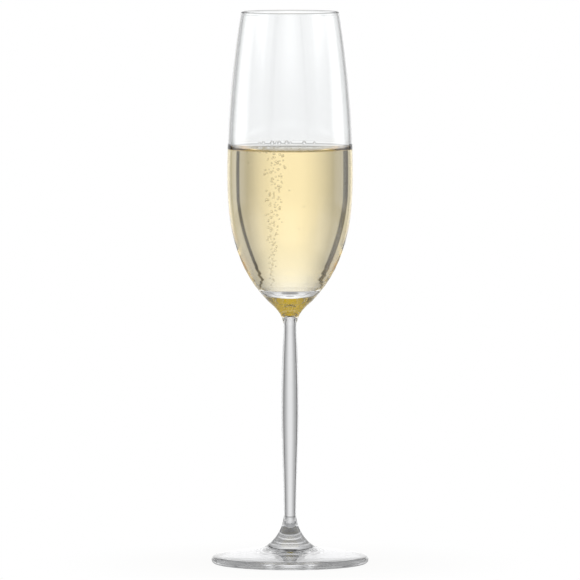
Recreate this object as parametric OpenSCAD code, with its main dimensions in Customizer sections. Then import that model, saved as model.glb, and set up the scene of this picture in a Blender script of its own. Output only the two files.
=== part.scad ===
// Champagne flute: a blown bowl, a drawn stem and a pressed foot, fused end to end, with a
// measure of champagne standing in the bowl and its bubbles on their way up.
// Millimetres, +Z up. The origin is the centre of the plane that the foot rests on.

/* [Overall] */
// Height of the glass, from the table to the top of the rim
glass_h = 253; // [246:1:262]
// Height of the fused joint between the stem and the bowl
bowl_joint_z = 113; // [112:0.5:114]
// Height of the fused joint between the foot and the stem
foot_joint_z = 18.5; // [16.5:0.5:21]

/* [Bowl] */
// Outer diameter at the rim
rim_d = 45; // [42:0.5:50]
// Outer diameter at the belly, the widest place of the bowl
belly_d = 57.6; // [56:0.2:59.2]
// Height of the belly
belly_z = 180; // [177:1:184]
// Thickness of the wall at the rim, which is rounded over
rim_wall = 0.8; // [0.7:0.1:1.4]
// Thickness of the wall at the belly
belly_wall = 1.2; // [1:0.1:1.4]
// Height of the lowest point of the cavity, on top of the solid base
floor_z = 126; // [125.5:0.5:128]

/* [Stem] */
// Diameter of the fused joint between the stem and the bowl
bowl_joint_d = 7.7; // [7:0.1:8.4]
// Diameter of the stem just below the bowl
upper_neck_d = 6; // [5.4:0.1:6.8]
// Diameter of the swelling in the middle of the stem
swell_d = 8.1; // [7:0.1:9]
// Height of the swelling
swell_z = 70; // [62:1:78]
// Diameter of the stem just above the foot
lower_neck_d = 5.7; // [5:0.1:6.6]
// Diameter of the fused joint between the foot and the stem
foot_joint_d = 6.8; // [6.2:0.1:7.4]

/* [Foot] */
// Diameter of the foot
foot_d = 72; // [66:0.5:78]
// Thickness of the foot's rounded edge
foot_edge_t = 3.5; // [2.8:0.1:4]
// Width of the flat ring that the glass stands on
rest_ring_w = 1.8; // [1:0.1:2.6]
// Depth of the hollow under the foot
hollow_depth = 3.2; // [2:0.1:4]

/* [Champagne] */
// Height of the level part of the champagne's surface
fill_z = 189.5; // [165:0.5:215]
// How far the champagne climbs the wall around its surface
climb_h = 3; // [0.5:0.1:3.5]

/* [Bubbles] */
// Number of bubbles rising from the floor of the cavity
rising_count = 40; // [8:1:48]
// Diameter of a bubble that is about to reach the surface
bubble_d = 0.9; // [0.5:0.1:1.2]
// Number of bubbles floating on the surface
floating_count = 14; // [3:1:20]

/* [Smoothness] */
// Number of straight steps that each stretch of a curve is drawn with
curve_steps = 16; // [10:1:24]

/* [Hidden] */
$fn = 96;

rim_r = rim_d / 2;
belly_r = belly_d / 2;
joint_r = bowl_joint_d / 2;
upper_neck_r = upper_neck_d / 2;
swell_r = swell_d / 2;
lower_neck_r = lower_neck_d / 2;
foot_joint_r = foot_joint_d / 2;

// The bowl's round underside turns into the flare of its base at the throat, which slopes at 45 degrees.
throat_r = 10.2;
throat_z = bowl_joint_z + 7.5;

// The necks of the stem sit a little way in from its two joints.
upper_neck_z = bowl_joint_z - 4.5;
lower_neck_z = foot_joint_z + 3.5;

// The shoulder is where the flare of the foot's collar runs out into the disc.
shoulder_r = 17;
shoulder_z = 6.1;

// The edge of the foot is a half round, which the disc meets a little before its highest point.
edge_r = foot_edge_t / 2;
edge_centre_r = foot_d / 2 - edge_r;
edge_start_angle = 80;

// How quickly the climb of the champagne's surface dies away from the wall, and where it has gone
climb_length = 0.6;
climb_reach = 10;

// Where the bubbles start, beside the axis, how far they lean towards it, and how widely they wander
seed_x = -6.3;
seed_lift = 2.5;
lean_x = 2.4;
wander = 3.2;
// Turning by the golden angle keeps each bubble clear of the last.
golden_angle = 137.5;
float_ring_r = 15;
float_ring_w = 9;

crystal = [0.82, 0.86, 0.88, 0.45];
wine = [0.93, 0.8, 0.42, 0.7];
gas = [1, 0.98, 0.88];

// A point on the cubic curve from a to d that leaves along a-b and arrives along c-d
function on_curve(a, b, c, d, t) =
    a * pow(1 - t, 3) + 3 * b * t * pow(1 - t, 2) + 3 * c * t * t * (1 - t) + d * pow(t, 3);

// The points of that curve without its last, so that the next stretch can follow on
function stretch(a, b, c, d) =
    [for (i = [0:curve_steps - 1]) on_curve(a, b, c, d, i / curve_steps)];

// The points of an arc about a centre, from one angle to another, both ends included
function arc(centre, r, from, to, steps) =
    [for (i = [0:steps])
        let (angle = from + (to - from) * i / steps)
        centre + r * [cos(angle), sin(angle)]];

// Every outline below is a list of [radius, height], turned about the Z axis.

// Outside of the bowl, from the joint up to where the rim starts to round over
function bowl_outside() =
    let (rim_z = glass_h - rim_wall / 2, rise = rim_z - belly_z)
    concat(
        stretch([joint_r, bowl_joint_z], [joint_r + 1.05, bowl_joint_z + 3.2],
            [throat_r - 1.2, throat_z - 1.2], [throat_r, throat_z]),
        stretch([throat_r, throat_z], [throat_r + 18, throat_z + 18],
            [belly_r, belly_z - 16.5], [belly_r, belly_z]),
        stretch([belly_r, belly_z], [belly_r, belly_z + 0.36 * rise],
            [rim_r + 0.0365 * rise, rim_z - 0.206 * rise], [rim_r, rim_z])
    );

// Inside of the bowl, from the floor on the axis up to where the rim starts to round over. The floor is
// a shallow dish, and the wall grows thinner from it up to the belly.
function bowl_inside() =
    let (rim_z = glass_h - rim_wall / 2, rise = rim_z - belly_z,
        inner_rim_r = rim_r - rim_wall, inner_belly_r = belly_r - belly_wall)
    concat(
        stretch([0, floor_z], [inner_belly_r - 4.6, floor_z],
            [inner_belly_r, belly_z - 24], [inner_belly_r, belly_z]),
        stretch([inner_belly_r, belly_z], [inner_belly_r, belly_z + 0.36 * rise],
            [inner_rim_r + 0.0365 * rise, rim_z - 0.206 * rise], [inner_rim_r, rim_z]),
        [[inner_rim_r, rim_z]]
    );

// Radius of the cavity at a height
function inside_r(z) = lookup(z, [for (p = bowl_inside()) [p.y, p.x]]);

// Share of the climb that is left at a distance from the wall, where it starts all but upright
function climb_left(gap) = exp(-sqrt(gap / climb_length));

// The champagne's surface, from the wall to the axis: level, but climbing close to the wall
function champagne_surface(wall_r) =
    let (rest = climb_left(climb_reach))
    concat(
        [for (i = [1:curve_steps])
            let (gap = climb_reach * pow(i / curve_steps, 2.5))
            [wall_r - gap, fill_z + climb_h * (climb_left(gap) - rest) / (1 - rest)]],
        [[0, fill_z]]
    );

// Thin-walled bowl with a solid base, open at its rim
module bowl() {
    rim_centre = [rim_r - rim_wall / 2, glass_h - rim_wall / 2];
    inside = bowl_inside();
    color(crystal)
        rotate_extrude()
            polygon(concat(
                [[0, bowl_joint_z]],
                bowl_outside(),
                arc(rim_centre, rim_wall / 2, 0, 180, 8),
                [for (i = [len(inside) - 2:-1:0]) inside[i]]
            ));
}

// Spindle-shaped stem: two necks with a swelling between them, flared a little at each joint
module stem() {
    color(crystal)
        rotate_extrude()
            polygon(concat(
                [[0, foot_joint_z]],
                stretch([foot_joint_r, foot_joint_z], [foot_joint_r - 0.2, foot_joint_z + 1],
                    [lower_neck_r, lower_neck_z - 1.5], [lower_neck_r, lower_neck_z]),
                stretch([lower_neck_r, lower_neck_z], [lower_neck_r, lower_neck_z + 14],
                    [swell_r, swell_z - 14], [swell_r, swell_z]),
                stretch([swell_r, swell_z], [swell_r, swell_z + 21],
                    [upper_neck_r, upper_neck_z - 7.5], [upper_neck_r, upper_neck_z]),
                stretch([upper_neck_r, upper_neck_z], [upper_neck_r, upper_neck_z + 2.7],
                    [joint_r - 0.35, bowl_joint_z - 1], [joint_r, bowl_joint_z]),
                [[joint_r, bowl_joint_z], [0, bowl_joint_z]]
            ));
}

// Disc with a flared collar, a half-round edge, a flat ring to stand on and a hollow inside it
module foot() {
    edge_centre = [edge_centre_r, edge_r];
    edge_start = edge_centre + edge_r * [cos(edge_start_angle), sin(edge_start_angle)];
    ring_inner_r = edge_centre_r - rest_ring_w;
    color(crystal)
        rotate_extrude()
            polygon(concat(
                [[0, foot_joint_z]],
                stretch([foot_joint_r, foot_joint_z], [foot_joint_r + 0.8, foot_joint_z - 3.7],
                    [shoulder_r - 8.4, shoulder_z + 0.6], [shoulder_r, shoulder_z]),
                stretch([shoulder_r, shoulder_z], [shoulder_r + 5.6, shoulder_z - 0.4],
                    edge_start + 5.5 * [-sin(edge_start_angle), cos(edge_start_angle)], edge_start),
                arc(edge_centre, edge_r, edge_start_angle, -90, 12),
                stretch([ring_inner_r, 0], [ring_inner_r - 5.5, 0.375 * hollow_depth],
                    [14, hollow_depth], [0, hollow_depth]),
                [[0, hollow_depth]]
            ));
}

// Champagne filling the cavity to its level, with a void around every bubble
module champagne() {
    contact_z = fill_z + climb_h;
    wall_r = inside_r(contact_z);
    color(wine)
        difference() {
            rotate_extrude()
                polygon(concat(
                    [for (p = bowl_inside()) if (p.y < contact_z - 0.01) p],
                    [[wall_r, contact_z]],
                    champagne_surface(wall_r)
                ));
            each_rising_bubble();
            each_surface_bubble();
        }
}

// Bubbles in a loose winding string that starts at one place on the floor and widens as it climbs
module each_rising_bubble() {
    bottom = floor_z + seed_lift;
    top = fill_z - bubble_d;
    for (i = [0:rising_count - 1]) {
        s = i / (rising_count - 1);
        translate([
            seed_x + lean_x * s + wander * s * cos(golden_angle * i),
            wander * s * sin(golden_angle * i),
            bottom + (top - bottom) * s
        ])
            sphere(d = bubble_d * (0.4 + 0.6 * s), $fn = 24);
    }
}

// Bubbles half sunk in the surface, spread over a ring of it
module each_surface_bubble() {
    for (i = [0:floating_count - 1]) {
        s = i / (floating_count - 1);
        rotate([0, 0, golden_angle * i])
            translate([float_ring_r + float_ring_w * (s - 0.5), 0, fill_z])
                sphere(d = bubble_d * (1.4 - 0.4 * s), $fn = 24);
    }
}

module rising_bubbles() {
    color(gas)
        each_rising_bubble();
}

module surface_bubbles() {
    color(gas)
        each_surface_bubble();
}

bowl();
stem();
foot();
champagne();
rising_bubbles();
surface_bubbles();
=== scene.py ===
"""Looks of a champagne flute in clear crystal, with champagne and its bubbles.

The blown bowl, the drawn stem and the pressed foot are turned from the outlines of their CAD pieces.
The champagne fills the bowl up to its own surface, with a void around each rising bubble. The studio's
light depends on its direction alone. Metres, +Z up, as in the frame.
"""

import math
import random

import bmesh
import bpy
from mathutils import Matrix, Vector


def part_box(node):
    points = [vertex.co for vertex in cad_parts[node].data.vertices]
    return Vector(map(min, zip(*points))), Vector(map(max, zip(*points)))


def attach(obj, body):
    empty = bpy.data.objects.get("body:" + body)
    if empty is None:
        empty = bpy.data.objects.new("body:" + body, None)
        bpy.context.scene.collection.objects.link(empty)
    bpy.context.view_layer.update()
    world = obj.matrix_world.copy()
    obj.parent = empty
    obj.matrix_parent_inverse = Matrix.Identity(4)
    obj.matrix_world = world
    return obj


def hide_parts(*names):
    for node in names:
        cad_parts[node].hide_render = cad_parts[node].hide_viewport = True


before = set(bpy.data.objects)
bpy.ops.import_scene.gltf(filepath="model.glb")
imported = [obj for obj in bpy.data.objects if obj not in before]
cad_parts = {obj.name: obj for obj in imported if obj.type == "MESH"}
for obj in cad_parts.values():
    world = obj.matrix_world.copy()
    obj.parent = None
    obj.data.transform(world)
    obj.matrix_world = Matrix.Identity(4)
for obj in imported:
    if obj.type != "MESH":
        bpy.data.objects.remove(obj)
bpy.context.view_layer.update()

MM = 0.001
FULL_TURN = 2 * math.pi


# ---------------------------------------------------------------- outlines

# Two rings closer than this are one ring.
SAME_RING = 0.01 * MM
# An outline that turns more than this at a point has a sharp corner there.
CORNER = math.radians(30)
# The steps of a smoothed outline turn and reach no further than this.
TURN_PER_STEP = math.radians(2)
LONGEST_STEP = 2.5 * MM


def turned_outline(node_name):
    """The rings of a turned CAD piece as (radius, height) points, in order from its wider end."""
    shape = bmesh.new()
    shape.from_mesh(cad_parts[node_name].data)
    bmesh.ops.remove_doubles(shape, verts=shape.verts, dist=SAME_RING / 2)
    rings = []
    ring_of = {}
    for vert in shape.verts:
        point = Vector((math.hypot(vert.co.x, vert.co.y), vert.co.z))
        index = next((i for i, ring in enumerate(rings) if (ring - point).length < SAME_RING), None)
        if index is None:
            index = len(rings)
            rings.append(point)
        ring_of[vert] = index
    beside = [set() for _ in rings]
    for edge in shape.edges:
        a, b = (ring_of[vert] for vert in edge.verts)
        if a != b:
            beside[a].add(b)
            beside[b].add(a)
    shape.free()
    ends = [i for i, near in enumerate(beside) if len(near) == 1]
    start = max(ends, key=lambda i: rings[i].x)
    path = [start]
    while True:
        onward = [i for i in beside[path[-1]] if i not in path]
        if not onward:
            return [rings[i] for i in path]
        path.append(onward[0])


def turn_at(points, i):
    """How far the outline turns at its point i, in radians."""
    if i == 0 or i == len(points) - 1:
        return math.pi
    return (points[i] - points[i - 1]).angle(points[i + 1] - points[i])


def direction_at(points, i, side):
    """The outline's direction at point i, for the step on that side of it (-1 before, 1 after)."""
    if turn_at(points, i) > CORNER:
        j = i + side
        return (points[j] - points[i]).normalized() * side
    before = points[i] - points[i - 1]
    after = points[i + 1] - points[i]
    blend = before / before.length * after.length + after / after.length * before.length
    return blend.normalized()


def smoothed(points):
    """The outline with short curved steps in place of its straight ones. Its corners stay sharp."""
    out = [points[0].copy()]
    for i in range(len(points) - 1):
        a, b = points[i], points[i + 1]
        length = (b - a).length
        da = direction_at(points, i, 1) * length
        db = direction_at(points, i + 1, -1) * length
        steps = max(1, math.ceil(da.angle(db) / TURN_PER_STEP), math.ceil(length / LONGEST_STEP))
        for k in range(1, steps + 1):
            t = k / steps
            out.append(
                a * (2 * t**3 - 3 * t**2 + 1)
                + da * (t**3 - 2 * t**2 + t)
                + b * (3 * t**2 - 2 * t**3)
                + db * (t**3 - t**2)
            )
    return out


# ---------------------------------------------------------------- meshes

SEGMENTS = 160
BALL_SUBDIVISIONS = 2
# A point closer to the axis than this is on it.
ON_AXIS = 0.001 * MM


def lathe(shape, outline):
    """Turns an outline about the Z axis into the bmesh, closed at both ends on the axis."""
    rows = []
    for radius, height in outline:
        if radius < ON_AXIS:
            rows.append([shape.verts.new((0, 0, height))])
            continue
        angles = [FULL_TURN * k / SEGMENTS for k in range(SEGMENTS)]
        rows.append([shape.verts.new((radius * math.cos(a), radius * math.sin(a), height)) for a in angles])
    if len(rows[0]) > 1:
        rows.insert(0, [shape.verts.new((0, 0, outline[0][1]))])
    if len(rows[-1]) > 1:
        rows.append([shape.verts.new((0, 0, outline[-1][1]))])
    for low, high in zip(rows, rows[1:]):
        for k in range(SEGMENTS):
            lower = [low[k % len(low)], low[(k + 1) % len(low)]]
            upper = [high[(k + 1) % len(high)], high[k % len(high)]]
            face = list(dict.fromkeys(lower + upper))
            shape.faces.new(face)


def add_ball(shape, centre, radius, inward=False):
    """A small ball in the bmesh, facing inward where it's the wall of a void."""
    made = bmesh.ops.create_icosphere(shape, subdivisions=BALL_SUBDIVISIONS, radius=radius)
    for vert in made["verts"]:
        vert.co += centre
    if inward:
        faces = {face for vert in made["verts"] for face in vert.link_faces}
        bmesh.ops.reverse_faces(shape, faces=list(faces))


def finished(name, shape, material, node_names, sharp=CORNER):
    """Makes a piece of the bmesh, which rides on the body and stands for its CAD nodes."""
    mesh = bpy.data.meshes.new(name)
    shape.to_mesh(mesh)
    shape.free()
    for polygon in mesh.polygons:
        polygon.use_smooth = True
    mesh.set_sharp_from_angle(angle=sharp)
    mesh.materials.append(material)
    piece = bpy.data.objects.new(name, mesh)
    bpy.context.scene.collection.objects.link(piece)
    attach(piece, "root")
    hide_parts(*node_names)
    return piece


# ---------------------------------------------------------------- materials

CRYSTAL_IOR = 1.52
CHAMPAGNE_IOR = 1.34
# Gas alone is at 1.0, which shows a bubble this small as a dark ring, so these are a little higher.
RISING_IOR = 1.2
FLOATING_IOR = 1.25

# The crystal's tint where light passes through it: slight in the thin bowl, greyer in the solid pieces
BLOWN_TINT = (0.92, 0.927, 0.93)
WET_TINT = (0.985, 0.992, 0.994)
DRAWN_TINT = (0.71, 0.713, 0.72)
PRESSED_TINT = (0.69, 0.695, 0.705)

# How often each way of shaping leaves streaks per metre, across the piece and along it, and their height
BLOWN_STREAKS = (260, 260, 40)
DRAWN_STREAKS = (700, 700, 30)
PRESSED_STREAKS = (180, 180, 180)
BLOWN_HEIGHT = 0.003 * MM
DRAWN_HEIGHT = 0.002 * MM
PRESSED_HEIGHT = 0.002 * MM

# The dullest that the polished crystal gets where it was wiped, and the dullest of a bubble's skin
WIPED_ROUGHNESS = 0.012
SKIN_ROUGHNESS = 0.05

# The champagne absorbs what this colour lacks, this strongly for each metre of depth.
CHAMPAGNE_COLOUR = (0.972, 0.74, 0.03)
CHAMPAGNE_DENSITY = 14.5
STIR_HEIGHT = 0.002 * MM

# Where the champagne wets the crystal, next to nothing is mirrored, because the two bend light nearly
# alike. This attribute marks the champagne's side of that surface.
WETTING = "against_crystal"


class Nodes:
    """A small hand for building node trees."""

    def __init__(self, tree):
        self.tree = tree
        tree.nodes.clear()

    def add(self, kind, inputs=None, **settings):
        """A node with its settings, and its inputs linked to a socket or set to a value."""
        node = self.tree.nodes.new(kind)
        for name, value in settings.items():
            setattr(node, name, value)
        for name, value in (inputs or {}).items():
            if isinstance(value, bpy.types.NodeSocket):
                self.tree.links.new(value, node.inputs[name])
            else:
                node.inputs[name].default_value = value
        return node

    def maths(self, operation, a, b=0.0):
        """The result of a Math node."""
        return self.add("ShaderNodeMath", {0: a, 1: b}, operation=operation).outputs[0]

    def mixed(self, share, a, b):
        """The number a where the share is 0 and b where it is 1."""
        return self.add("ShaderNodeMix", {0: share, 2: a, 3: b}, data_type="FLOAT").outputs[0]

    def ranged(self, value, low, high, to_low, to_high, smooth=False):
        """The value mapped from one range onto another, and held at its ends."""
        kind = "SMOOTHSTEP" if smooth else "LINEAR"
        inputs = {"Value": value, "From Min": low, "From Max": high, "To Min": to_low, "To Max": to_high}
        return self.add("ShaderNodeMapRange", inputs, interpolation_type=kind).outputs["Result"]

    def noise(self, place, scale, detail):
        """Procedural noise, from 0 to 1."""
        inputs = {"Vector": place, "Scale": scale, "Detail": detail}
        return self.add("ShaderNodeTexNoise", inputs).outputs[0]

    def bumped(self, height, distance):
        """A normal that follows a height."""
        inputs = {"Height": height, "Strength": 1.0, "Distance": distance}
        return self.add("ShaderNodeBump", inputs).outputs[0]

    def ramp(self, value, low, high, stops):
        """A value drawn through (position, level) stops. A ramp holds at most 1, so it's scaled."""
        along = self.ranged(value, low, high, 0.0, 1.0)
        ramp = self.add("ShaderNodeValToRGB", {"Fac": along})
        elements = ramp.color_ramp.elements
        elements.remove(elements[-1])
        top = max(level for _, level in stops)
        for i, (position, level) in enumerate(stops):
            place = (position - low) / (high - low)
            element = elements[0] if i == 0 else elements.new(place)
            element.position = place
            element.color = (level / top, level / top, level / top, 1)
        return self.maths("MULTIPLY", ramp.outputs[0], top)


def new_material(name):
    """A material and the hand for its empty node tree."""
    material = bpy.data.materials.new(name)
    material.use_nodes = True
    return material, Nodes(material.node_tree)


def crystal_material(name, streaks, height, tint, mirror=1.0):
    """Clear crystal: nearly perfect, with the faint streaks that blowing or drawing leaves along it."""
    material, nodes = new_material(name)
    place = nodes.add("ShaderNodeTexCoord").outputs["Object"]
    stretched = nodes.add("ShaderNodeMapping", {"Vector": place, "Scale": streaks}).outputs[0]
    wiped = nodes.noise(place, scale=90.0, detail=3.0)
    surface = nodes.add("ShaderNodeBsdfPrincipled", {
        "Base Color": (*tint, 1),
        "Roughness": nodes.ranged(wiped, 0.45, 0.75, 0.0, WIPED_ROUGHNESS),
        "IOR": CRYSTAL_IOR,
        "Specular Tint": (mirror, mirror, mirror, 1),
        "Transmission Weight": 1.0,
        "Normal": nodes.bumped(nodes.noise(stretched, scale=1.0, detail=2.0), height),
    })
    nodes.add("ShaderNodeOutputMaterial", {"Surface": surface.outputs[0]})
    return material


def champagne_material():
    """Pale straw-coloured wine, which takes its colour from the depth that the light crosses."""
    material, nodes = new_material("champagne")
    place = nodes.add("ShaderNodeTexCoord").outputs["Object"]
    wetting = nodes.add("ShaderNodeAttribute", attribute_name=WETTING).outputs["Fac"]
    mirror = nodes.ranged(wetting, 0.0, 1.0, 1.0, 0.0)
    surface = nodes.add("ShaderNodeBsdfPrincipled", {
        "Base Color": (1, 1, 1, 1),
        "Roughness": 0.0,
        "IOR": CHAMPAGNE_IOR,
        "Specular Tint": nodes.add("ShaderNodeCombineColor", {0: mirror, 1: mirror, 2: mirror}).outputs[0],
        "Transmission Weight": 1.0,
        "Normal": nodes.bumped(nodes.noise(place, scale=160.0, detail=2.0), STIR_HEIGHT),
    })
    inputs = {"Color": (*CHAMPAGNE_COLOUR, 1), "Density": CHAMPAGNE_DENSITY}
    depth = nodes.add("ShaderNodeVolumeAbsorption", inputs)
    nodes.add("ShaderNodeOutputMaterial", {"Surface": surface.outputs[0], "Volume": depth.outputs[0]})
    return material


def gas_material(name, ior):
    """The gas in a bubble and its thin skin."""
    material, nodes = new_material(name)
    place = nodes.add("ShaderNodeTexCoord").outputs["Object"]
    patches = nodes.noise(place, scale=400.0, detail=1.0)
    surface = nodes.add("ShaderNodeBsdfPrincipled", {
        "Base Color": (1, 1, 1, 1),
        "Roughness": nodes.ranged(patches, 0.4, 0.7, 0.0, SKIN_ROUGHNESS),
        "IOR": ior,
        "Transmission Weight": 1.0,
    })
    nodes.add("ShaderNodeOutputMaterial", {"Surface": surface.outputs[0]})
    return material


# ---------------------------------------------------------------- the space inside

# The length that the champagne's climb at the wall fades over, and where it has ended
CLIMB_LENGTH = 0.6 * MM
CLIMB_REACH = 10 * MM
# A step of the cavity's outline is taken to rise at least this much, so a level one divides safely.
LEAST_RISE = 1e-9

bowl_outline = turned_outline("bowl")
contact_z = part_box("champagne")[1].z
# The middle of the floating bubbles' box is the height of the flat part of the surface.
fill_z = sum(corner.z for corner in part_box("surface_bubbles")) / 2
climb = contact_z - fill_z


def cavity_outline():
    """The bowl's inside from the floor on the axis up to the rim, as (radius, height) points."""
    smooth = smoothed(bowl_outline)
    top = max(range(len(smooth)), key=lambda i: smooth[i].y)
    inside = smooth[top:] if smooth[-1].x < ON_AXIS else smooth[: top + 1]
    return sorted(inside, key=lambda p: p.y)


cavity = cavity_outline()
floor_z = cavity[0].y


def cavity_radius(height):
    """The cavity's radius at a height."""
    for low, high in zip(cavity, cavity[1:]):
        if low.y <= height <= high.y:
            share = (height - low.y) / max(high.y - low.y, LEAST_RISE)
            return low.x + (high.x - low.x) * share
    return 0.0


def climb_left(gap):
    """The share of the champagne's climb left at a distance from the wall, steepest at the wall."""
    return math.exp(-math.sqrt(gap / CLIMB_LENGTH))


def surface_height(gap):
    """The height of the champagne's surface at a distance from the wall, which it climbs."""
    rest = climb_left(CLIMB_REACH)
    return fill_z + climb * max(0.0, (climb_left(gap) - rest) / (1 - rest))


# ---------------------------------------------------------------- the glass

TABLE_Z = 0.0
# How far the stem's fused ends reach into the bowl and the foot
JOINT_OVERLAP = 0.02 * MM


def pushed(outline, by):
    """The outline with its end rings moved up or down, so that both ends reach into what they meet."""
    points = [p.copy() for p in outline]
    for i in (0, -1):
        outward = 1 if points[i].y > sum(p.y for p in points) / len(points) else -1
        points[i].y += outward * by
    return points


def make_glass(name, outline, material, node_name):
    """Turns a piece of glass, which never reaches below the table."""
    shape = bmesh.new()
    lathe(shape, [Vector((point.x, max(point.y, TABLE_Z))) for point in smoothed(outline)])
    bmesh.ops.recalc_face_normals(shape, faces=shape.faces)
    return finished(name, shape, material, [node_name])


def make_bowl():
    """The blown bowl. The part of its inside that the champagne wets has no mirror."""
    blown = crystal_material("blown_crystal", BLOWN_STREAKS, BLOWN_HEIGHT, BLOWN_TINT)
    bowl = make_glass("bowl_glass", bowl_outline, blown, "bowl")
    wet = crystal_material("wet_crystal", BLOWN_STREAKS, BLOWN_HEIGHT, WET_TINT, mirror=0.0)
    bowl.data.materials.append(wet)
    for face in bowl.data.polygons:
        away = math.hypot(face.center.x, face.center.y)
        if face.center.z < contact_z and away < cavity_radius(face.center.z) + SAME_RING:
            face.material_index = 1


def make_stem():
    """The drawn stem, fused into the bowl and the foot."""
    outline = pushed(turned_outline("stem"), JOINT_OVERLAP)
    drawn = crystal_material("drawn_crystal", DRAWN_STREAKS, DRAWN_HEIGHT, DRAWN_TINT)
    make_glass("stem_glass", outline, drawn, "stem")


def make_foot():
    """The pressed foot."""
    pressed = crystal_material("pressed_crystal", PRESSED_STREAKS, PRESSED_HEIGHT, PRESSED_TINT)
    make_glass("foot_glass", turned_outline("foot"), pressed, "foot")


# ---------------------------------------------------------------- the bubbles

STREAM_COUNT = 165
# Below 1, the string is sparser at its foot than at its head.
STREAM_CROWDING = 0.8
# Where the string starts, from the middle of the cavity's floor
SEED = Vector((-6.3 * MM, 0, 2.5 * MM))
# How far the string leans towards the axis by its head, its half width there, and the share of that
# half width that it has at its foot
STREAM_LEAN = 1.2 * MM
STREAM_HALF_WIDTH = 4.3 * MM
WIDTH_AT_FOOT = 0.15
# The biggest bubble's diameter, at the head. The smallest bubble anywhere, and the biggest at the
# string's foot, are shares of it.
BIGGEST_BUBBLE = 1.25 * MM
SMALLEST_SHARE = 0.4
SHARE_AT_FOOT = 0.65
RISING_DICE = 7

# Stray bubbles: their count and radius, how far they stay from the floor and the surface, and where
# they are between the axis and the wall
STRAY_COUNT = 9
STRAY_RADIUS = 0.28 * MM
STRAY_ABOVE_FLOOR = 20 * MM
STRAY_BELOW_SURFACE = 4 * MM
STRAY_REACH = (0.1, 0.75)

# The big bubbles along the far wall: how far to the side of the axis each sits, and its radius, in
# millimetres
FAR_WALL_BUBBLES = [
    (-14.2, 0.6), (-12.4, 0.8), (-8.3, 1.0), (-6.2, 0.7), (-4.9, 0.9),
    (-1.6, 1.0), (0.2, 0.6), (6.6, 0.9), (11.4, 0.7),
]
# They sit this many radii from the wall, and this far below the line where the surface meets it.
FAR_WALL_RADII = 1.2
FAR_WALL_DROP = 0.9 * MM

# The small floating bubbles: how many, how far from the axis, their radii, and how much of its radius
# each bubble's middle is above the surface
FLOATING_COUNT = 46
FLOATING_AWAY = (8 * MM, 25.5 * MM)
FLOATING_RADII = (0.28 * MM, 0.6 * MM)
FLOATING_LIFT = 0.1
# Two in three of them gather on the string's side, spread by this angle in radians.
GATHERED_SPREAD = 0.75
FLOATING_DICE = 11

# The gas of a rising bubble has this share of its void's radius, which keeps their two walls apart.
GAS_SHARE = 0.97


def beside_axis(away, swing, height):
    """The point at a distance from the axis, an angle round it and a height."""
    return Vector((away * math.cos(swing), away * math.sin(swing), height))


def rising_bubbles():
    """Centres and radii: a string that starts from one place, swells and spreads, and a few strays."""
    dice = random.Random(RISING_DICE)
    out = []
    bottom = floor_z + SEED.z
    for i in range(STREAM_COUNT):
        s = ((i + dice.random()) / STREAM_COUNT) ** STREAM_CROWDING
        height = bottom + (fill_z - BIGGEST_BUBBLE - bottom) * s
        swing = dice.uniform(0, FULL_TURN)
        away = STREAM_HALF_WIDTH * (WIDTH_AT_FOOT + (1 - WIDTH_AT_FOOT) * s) * math.sqrt(dice.random())
        biggest_share = SHARE_AT_FOOT + (1 - SHARE_AT_FOOT) * s
        radius = BIGGEST_BUBBLE / 2 * dice.uniform(SMALLEST_SHARE, biggest_share)
        middle = Vector((SEED.x + STREAM_LEAN * s, 0, 0))
        out.append((middle + beside_axis(away, swing, height), radius))
    for _ in range(STRAY_COUNT):
        swing = dice.uniform(0, FULL_TURN)
        height = dice.uniform(floor_z + STRAY_ABOVE_FLOOR, fill_z - STRAY_BELOW_SURFACE)
        away = cavity_radius(height) * dice.uniform(*STRAY_REACH)
        out.append((beside_axis(away, swing, height), STRAY_RADIUS))
    return out


def surface_bubbles():
    """Centres and radii of the bubbles that have come up: big ones along the far wall, and small ones."""
    dice = random.Random(FLOATING_DICE)
    out = []
    for side, size in FAR_WALL_BUBBLES:
        away = cavity_radius(contact_z) - size * FAR_WALL_RADII * MM
        swing = math.asin(side * MM / away)
        place = Vector((side * MM, away * math.cos(swing), contact_z - FAR_WALL_DROP))
        out.append((place, size * MM))
    for i in range(FLOATING_COUNT):
        gathered = i % 3 > 0
        swing = math.pi + dice.gauss(0, GATHERED_SPREAD) if gathered else dice.uniform(0, FULL_TURN)
        away = dice.uniform(*FLOATING_AWAY)
        radius = dice.uniform(*FLOATING_RADII)
        height = surface_height(cavity_radius(contact_z) - away) + radius * FLOATING_LIFT
        out.append((beside_axis(away, swing, height), radius))
    return out


def make_bubbles(name, bubbles, material, node_name, share):
    """The bubbles as one piece of separate balls, each at a share of its radius."""
    shape = bmesh.new()
    for centre, radius in bubbles:
        add_ball(shape, centre, radius * share)
    return finished(name, shape, material, [node_name], sharp=math.pi)


# ---------------------------------------------------------------- the champagne

# How far the champagne reaches into the bowl's wall, which leaves no air between the two
WALL_OVERLAP = 0.03 * MM
# How many rings the climbing surface has, and the power by which they crowd towards the wall. One more
# ring lies in the flat part, at this share of the wall's radius.
SURFACE_STEPS = 40
SURFACE_CROWDING = 2.5
FLAT_RING = 0.3


def grown(points, by):
    """The outline moved outward by a small distance, at right angles to itself."""
    out = []
    for i, point in enumerate(points):
        along = (points[min(i + 1, len(points) - 1)] - points[max(i - 1, 0)]).normalized()
        outward = Vector((along.y, -along.x))
        if point.x < ON_AXIS:
            outward = Vector((0, -1))
        out.append(point + outward * by)
    return out


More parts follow.
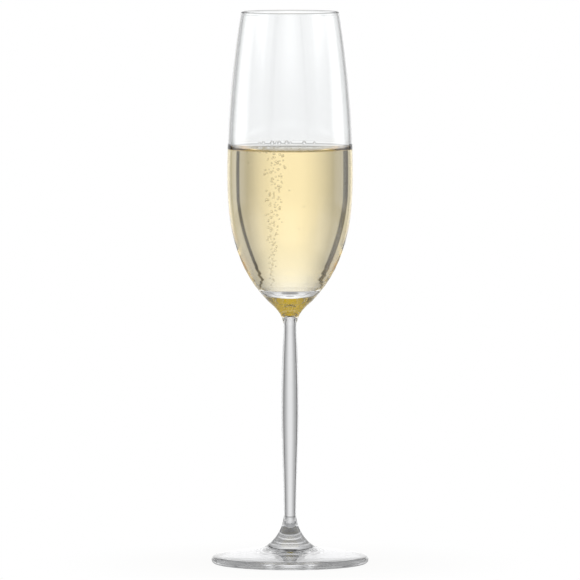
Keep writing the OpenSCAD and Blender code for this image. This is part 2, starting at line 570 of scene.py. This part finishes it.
def champagne_outline():
    """The champagne from the cavity's floor up its wet wall, then down its climb to the axis."""
    wall_r = cavity_radius(contact_z)
    wet = [p for p in cavity if p.y < contact_z - SAME_RING] + [Vector((wall_r, contact_z))]
    sides = grown(wet, WALL_OVERLAP)
    top = []
    for k in range(1, SURFACE_STEPS + 1):
        gap = CLIMB_REACH * (k / SURFACE_STEPS) ** SURFACE_CROWDING
        top.append(Vector((wall_r - gap, surface_height(gap))))
    return sides + top + [Vector((wall_r * FLAT_RING, fill_z)), Vector((0, fill_z))]


def make_champagne(bubbles):
    """The champagne, with a void around each of the bubbles."""
    shape = bmesh.new()
    lathe(shape, champagne_outline())
    bmesh.ops.recalc_face_normals(shape, faces=shape.faces)
    wetting = shape.verts.layers.float.new(WETTING)
    for vert in shape.verts:
        vert[wetting] = math.hypot(vert.co.x, vert.co.y) >= cavity_radius(vert.co.z)
    for centre, radius in bubbles:
        add_ball(shape, centre, radius, inward=True)
    return finished("champagne_wine", shape, champagne_material(), ["champagne"])


# ---------------------------------------------------------------- the studio

# Brightness of the studio at degrees round from straight ahead, right positive: a bright backdrop that
# falls away to its sides, with a soft box beyond each. The half behind the camera mirrors the half
# ahead of it.
BRIGHTNESS_ROUND = [
    (-90, 1.15), (-80, 1.6), (-60, 1.7), (-52, 0.84), (-47, 0.74), (-43, 0.72), (-34, 0.52),
    (-25, 0.58), (-20, 0.72), (-15, 0.89), (-9, 1.08), (-5, 1.16), (0, 1.17), (5, 1.16), (9, 1.08),
    (15, 0.89), (20, 0.7), (25, 0.56), (34, 0.52), (43, 0.68), (47, 0.74), (52, 0.84), (60, 1.7),
    (80, 1.6), (90, 1.15),
]
# The studio behind the camera is dim near the horizon. This is its level, the Y of a direction where
# it starts and where it's full, and the Z up to which it's full and where it ends.
BEHIND_LEVEL = 0.34
BEHIND_Y = (0.05, -0.1)
BEHIND_Z = (0.1, 0.22)
# High up and low down it's the same all round: the level, and the Z where that starts and is full.
STEEP_LEVEL = 0.85
STEEP_Z = (0.5, 0.75)
# How much of that the two dark flags beside the backdrop leave, at degrees round. They lean inward by
# this many degrees for each degree up, like a tent's sides, and they fade out below the horizon, between
# these degrees up.
FLAGS = [
    (-90, 1.0), (-47.5, 1.0), (-46.0, 0.16), (-37.0, 0.16), (-35.5, 1.0),
    (31.8, 1.0), (33.0, 0.12), (36.5, 0.12), (37.7, 1.0), (90, 1.0),
]
FLAG_LEAN = 0.6
FLAGS_FADE = (-20, -6)
# How much of all this is left at the Z of a direction, from straight down to straight up
SHARE_UP = [
    (-1.0, 0.55), (-0.7, 0.38), (-0.57, 0.42), (-0.5, 0.85), (-0.3, 0.9), (-0.25, 0.85),
    (-0.21, 0.56), (-0.165, 0.56), (-0.135, 1.0), (0.6, 1.0), (0.72, 0.6), (0.8, 0.3), (1.0, 0.3),
]
# A small dark flag ahead of the camera closes the tent above the backdrop. It covers these degrees to
# each side, and these degrees up, with soft edges.
TOP_FLAG_LEVEL = 0.12
TOP_FLAG_HALF_WIDTH = 14
TOP_FLAG_SIDE_EDGE = 2
TOP_FLAG_FROM = 26.5
TOP_FLAG_TO = 46
TOP_FLAG_EDGE = 1
# A gilt reflector hangs straight overhead, for the light that reaches the bowl's solid base through
# the champagne. It starts and is full at these Z of a direction.
GILT = (0.58, 0.47, 0.03)
GILT_Z = (0.88, 0.92)


def brightness_round(nodes, axes, sideways):
    """The studio's brightness before its flags."""
    around = nodes.ramp(sideways, -90, 90, BRIGHTNESS_ROUND)
    height = nodes.maths("ABSOLUTE", axes["Z"])
    behind = nodes.ranged(axes["Y"], *BEHIND_Y, 0.0, 1.0, smooth=True)
    behind = nodes.maths("MULTIPLY", behind, nodes.ranged(height, *BEHIND_Z, 1.0, 0.0, smooth=True))
    around = nodes.mixed(behind, around, BEHIND_LEVEL)
    steep = nodes.ranged(height, *STEEP_Z, 0.0, 1.0, smooth=True)
    return nodes.mixed(steep, around, STEEP_LEVEL)


def left_by_flags(nodes, sideways, rise):
    """The share of the light that the two leaning flags leave."""
    lean = nodes.maths("MULTIPLY", nodes.maths("MAXIMUM", rise, 0.0), FLAG_LEAN)
    lean = nodes.maths("MULTIPLY", lean, nodes.maths("SIGN", sideways))
    flags = nodes.ramp(nodes.maths("ADD", sideways, lean), -90, 90, FLAGS)
    full = nodes.ranged(rise, *FLAGS_FADE, 0.0, 1.0, smooth=True)
    return nodes.mixed(full, 1.0, flags)


def covered_by_top_flag(nodes, axes, sideways, rise):
    """1 where the top flag is and 0 elsewhere."""
    off_axis = nodes.maths("ABSOLUTE", sideways)
    outer = TOP_FLAG_HALF_WIDTH + TOP_FLAG_SIDE_EDGE
    inner = TOP_FLAG_HALF_WIDTH - TOP_FLAG_SIDE_EDGE
    cover = nodes.ranged(off_axis, outer, inner, 0.0, 1.0, smooth=True)
    above = nodes.ranged(rise, TOP_FLAG_FROM - TOP_FLAG_EDGE, TOP_FLAG_FROM + TOP_FLAG_EDGE, 0.0, 1.0)
    below = nodes.ranged(rise, TOP_FLAG_TO - TOP_FLAG_EDGE, TOP_FLAG_TO + TOP_FLAG_EDGE, 1.0, 0.0)
    cover = nodes.maths("MULTIPLY", cover, above)
    cover = nodes.maths("MULTIPLY", cover, below)
    return nodes.maths("MULTIPLY", cover, nodes.maths("GREATER_THAN", axes["Y"], 0.0))


def make_world():
    """The studio. The camera sees it as plain white, and the glass bends and mirrors its light."""
    world = bpy.data.worlds.new("studio")
    bpy.context.scene.world = world
    world.use_nodes = True
    nodes = Nodes(world.node_tree)
    toward = nodes.add("ShaderNodeTexCoord").outputs["Generated"]
    axes = nodes.add("ShaderNodeSeparateXYZ", {0: toward}).outputs
    ahead = nodes.maths("ABSOLUTE", axes["Y"])
    sideways = nodes.maths("DEGREES", nodes.maths("ARCTAN2", axes["X"], ahead))
    rise = nodes.maths("DEGREES", nodes.maths("ARCSINE", axes["Z"]))
    around = brightness_round(nodes, axes, sideways)
    brightness = nodes.maths("MULTIPLY", around, left_by_flags(nodes, sideways, rise))
    brightness = nodes.maths("MULTIPLY", brightness, nodes.ramp(axes["Z"], -1, 1, SHARE_UP))
    top_flag = covered_by_top_flag(nodes, axes, sideways, rise)
    brightness = nodes.mixed(top_flag, brightness, TOP_FLAG_LEVEL)
    seen = nodes.add("ShaderNodeLightPath").outputs["Is Camera Ray"]
    shown = nodes.mixed(seen, brightness, 1.0)
    overhead = nodes.ranged(axes["Z"], *GILT_Z, 0.0, 1.0, smooth=True)
    gilded = nodes.maths("MULTIPLY", overhead, nodes.maths("SUBTRACT", 1.0, seen))
    grey = nodes.add("ShaderNodeCombineColor", {0: shown, 1: shown, 2: shown}).outputs[0]
    colours = {0: gilded, 6: grey, 7: (*GILT, 1)}
    colour = nodes.add("ShaderNodeMix", colours, data_type="RGBA").outputs[2]
    light = nodes.add("ShaderNodeBackground", {"Color": colour, "Strength": 1.0})
    nodes.add("ShaderNodeOutputWorld", {"Surface": light.outputs[0]})


FLOOR_RADIUS = 0.3
FLOOR_SIDES = 96
FLOOR_COLOUR = (0.98, 0.98, 0.98)
# The share of the floor that is matt and so shows the foot's shadow, and the distances from the axis
# that it fades out between. The rest of the floor glows.
MATT_SHARE = 0.07
SHADOW_FADE = (0.03, 0.12)
# How brightly the floor glows under the foot to rays through the glass, by distance from the axis:
# a painted shadow of the foot, with a painted ring of the light that the foot gathers.
PAINTED_SHADOW_AND_RING = [
    (0.0, 0.25), (0.012, 0.25), (0.016, 0.95), (0.021, 0.85),
    (0.026, 0.5), (0.036, 0.35), (0.042, 0.85), (0.06, 0.9),
]
# Between these distances the glass stops being lit by the floor and is lit by the studio below it.
OPEN_FADE = (0.044, 0.056)


def floor_material():
    """A pale floor, white to the camera but for the foot's shadow. Its glow to the glass is painted shade.
    """
    material, nodes = new_material("pale_floor")
    place = nodes.add("ShaderNodeTexCoord").outputs["Object"]
    far = nodes.add("ShaderNodeVectorMath", {0: place}, operation="LENGTH").outputs["Value"]
    seen = nodes.add("ShaderNodeLightPath").outputs["Is Camera Ray"]
    away = nodes.ranged(far, *SHADOW_FADE, 0.0, 1.0, smooth=True)
    matt_share = nodes.maths("MULTIPLY", nodes.maths("SUBTRACT", 1.0, away), MATT_SHARE)
    # To rays through the glass the floor glows with a painted shadow and a painted ring of light under the
    # foot; to the camera it glows evenly white.
    painted_glow_under_foot = nodes.ramp(far, 0.0, PAINTED_SHADOW_AND_RING[-1][0], PAINTED_SHADOW_AND_RING)
    strength = nodes.mixed(seen, painted_glow_under_foot, 1.0)
    glow = nodes.add("ShaderNodeEmission", {"Color": (1, 1, 1, 1), "Strength": strength})
    matt = nodes.add("ShaderNodeBsdfDiffuse", {"Color": (*FLOOR_COLOUR, 1)})
    solid = nodes.add("ShaderNodeMixShader", {0: matt_share, 1: glow.outputs[0], 2: matt.outputs[0]})
    open_share = nodes.ranged(far, *OPEN_FADE, 0.0, 1.0, smooth=True)
    open_share = nodes.maths("MULTIPLY", open_share, nodes.maths("SUBTRACT", 1.0, seen))
    clear = nodes.add("ShaderNodeBsdfTransparent", {"Color": (1, 1, 1, 1)})
    surface = nodes.add("ShaderNodeMixShader", {0: open_share, 1: solid.outputs[0], 2: clear.outputs[0]})
    nodes.add("ShaderNodeOutputMaterial", {"Surface": surface.outputs[0]})
    return material


def make_floor():
    """The disc that the flute stands on."""
    shape = bmesh.new()
    bmesh.ops.create_circle(shape, cap_ends=True, segments=FLOOR_SIDES, radius=FLOOR_RADIUS)
    mesh = bpy.data.meshes.new("floor")
    shape.to_mesh(mesh)
    shape.free()
    floor = bpy.data.objects.new("floor", mesh)
    bpy.context.scene.collection.objects.link(floor)
    mesh.materials.append(floor_material())


CAMERA_PLACE = Vector((0, -4.0, 0.392))
CAMERA_AIM = Vector((0, 0, 0.1255))
LENS_MM = 543.4
SENSOR_MM = 36


def make_camera():
    """A long lens from a little above, as for a catalogue."""
    data = bpy.data.cameras.new("camera")
    data.sensor_width = SENSOR_MM
    data.lens = LENS_MM
    data.clip_start = 0.1
    data.clip_end = 20
    camera = bpy.data.objects.new("camera", data)
    camera.location = CAMERA_PLACE
    camera.rotation_mode = "QUATERNION"
    camera.rotation_quaternion = (CAMERA_AIM - CAMERA_PLACE).to_track_quat("-Z", "Y")
    bpy.context.scene.collection.objects.link(camera)
    bpy.context.scene.camera = camera


def set_light_paths():
    """Bounces enough for light that crosses the bowl, the champagne and its bubbles."""
    scene = bpy.context.scene
    scene.view_settings.view_transform = "Standard"
    scene.cycles.max_bounces = 48
    scene.cycles.transmission_bounces = 48
    scene.cycles.glossy_bounces = 16
    scene.cycles.transparent_max_bounces = 16
    scene.cycles.use_denoising = True


# ---------------------------------------------------------------- everything

make_bowl()
make_stem()
make_foot()

rising = rising_bubbles()
floating = surface_bubbles()
make_champagne(rising)
make_bubbles("bubbles_rising", rising, gas_material("bubble_gas", RISING_IOR), "rising_bubbles", GAS_SHARE)
make_bubbles("bubbles_floating", floating, gas_material("foam_gas", FLOATING_IOR), "surface_bubbles", 1.0)

make_world()
make_floor()
make_camera()
set_light_paths()
